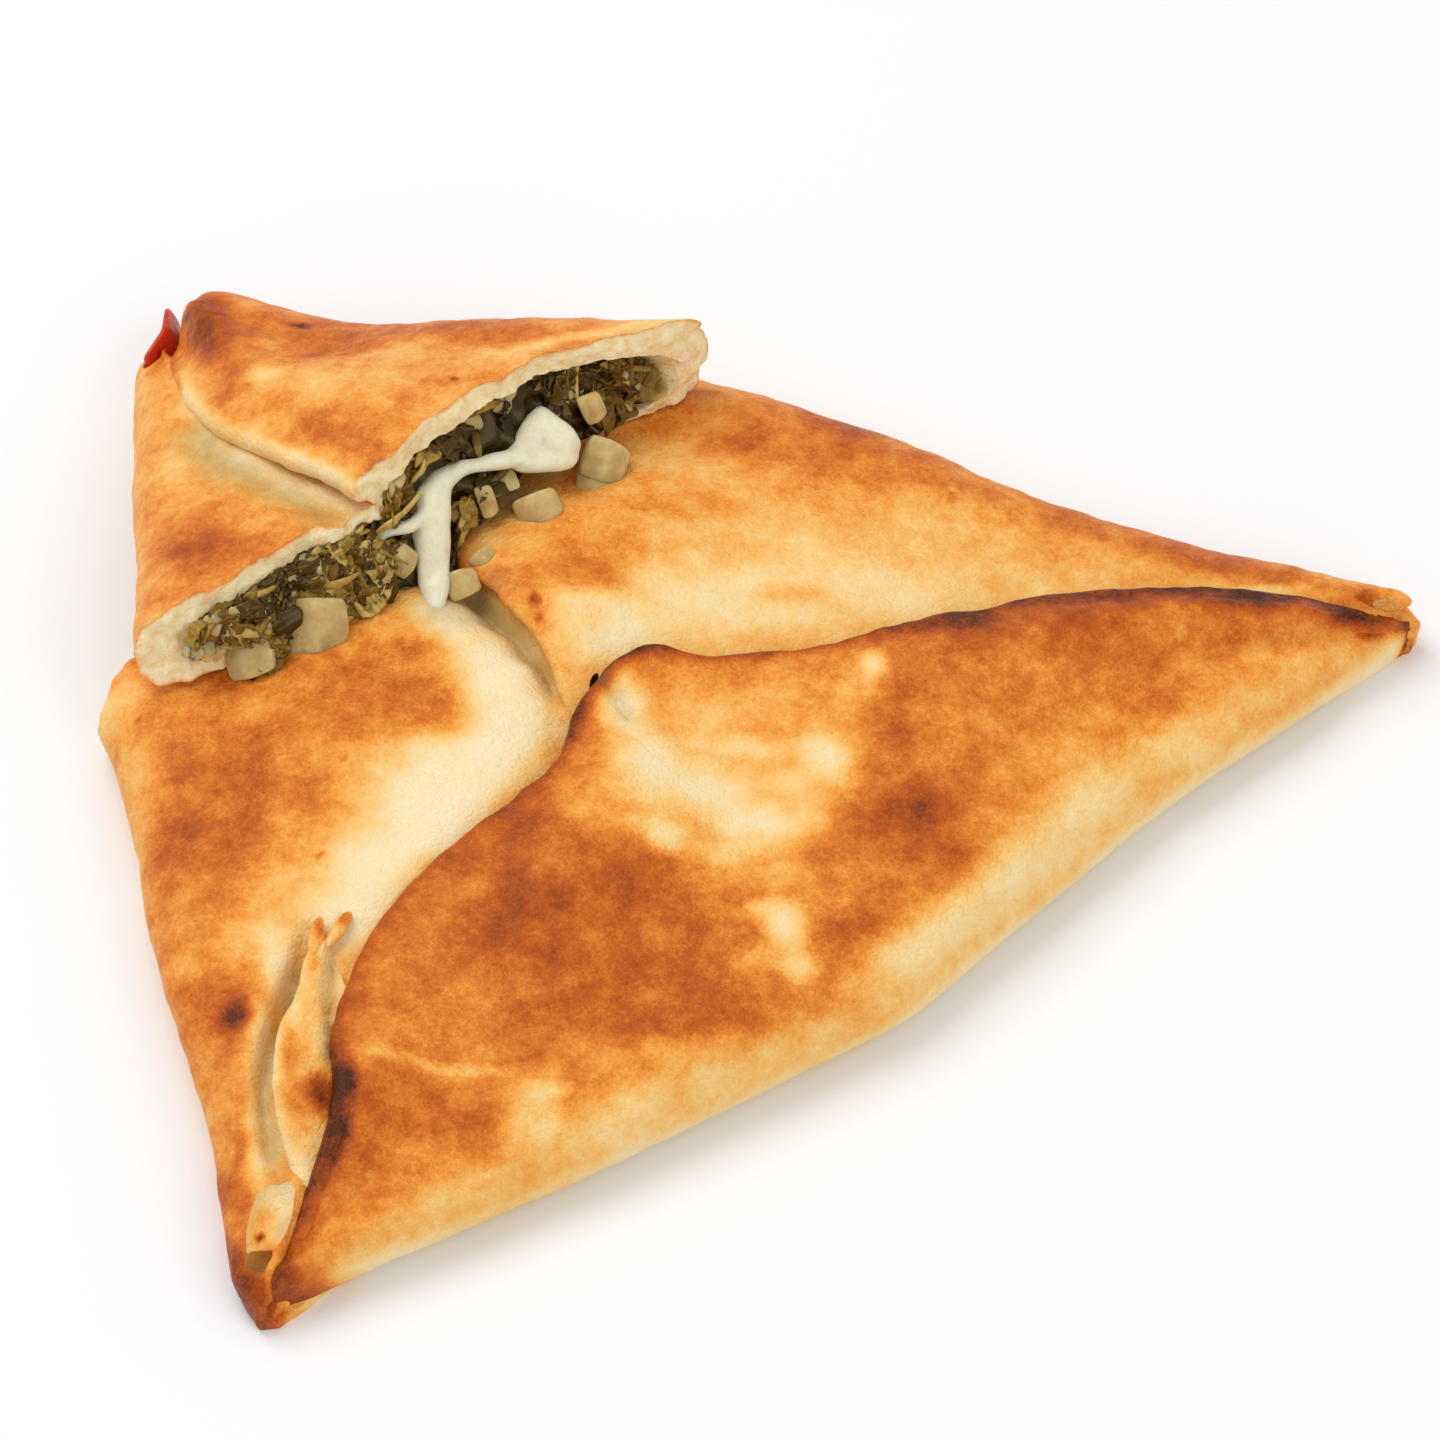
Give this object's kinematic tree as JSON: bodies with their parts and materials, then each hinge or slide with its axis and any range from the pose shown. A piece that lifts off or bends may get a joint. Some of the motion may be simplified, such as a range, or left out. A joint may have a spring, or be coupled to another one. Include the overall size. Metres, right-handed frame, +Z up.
{
  "type": "manakish",
  "caption": "Folded triangular filled flatbread pie with one torn corner that shows chopped greens, onion and melted cheese.",
  "frame": {"origin": "centre of the pie's bounding box, on the surface that it lies on", "axes": "+Z up through the pie's thickness, +X along the pie's longest extent towards its right corner, +Y from the long folded side towards the torn corner"},
  "size_m": [0.2112, 0.1974, 0.0381],
  "materials": {
    "crust": "baked, satin",
    "greens": "moist",
    "cheese": "melted",
    "onion": "moist",
    "pepper": "moist"
  },
  "bodies": {
    "root": {"dough_body": "crust", "dough_corner": "crust", "filling_body": "greens", "filling_corner": "greens", "cheese": "cheese", "onion_middle": "onion", "onion_left": "onion", "onion_right": "onion", "onion_low": "onion", "red_pepper": "pepper"}
  },
  "joints": []
}
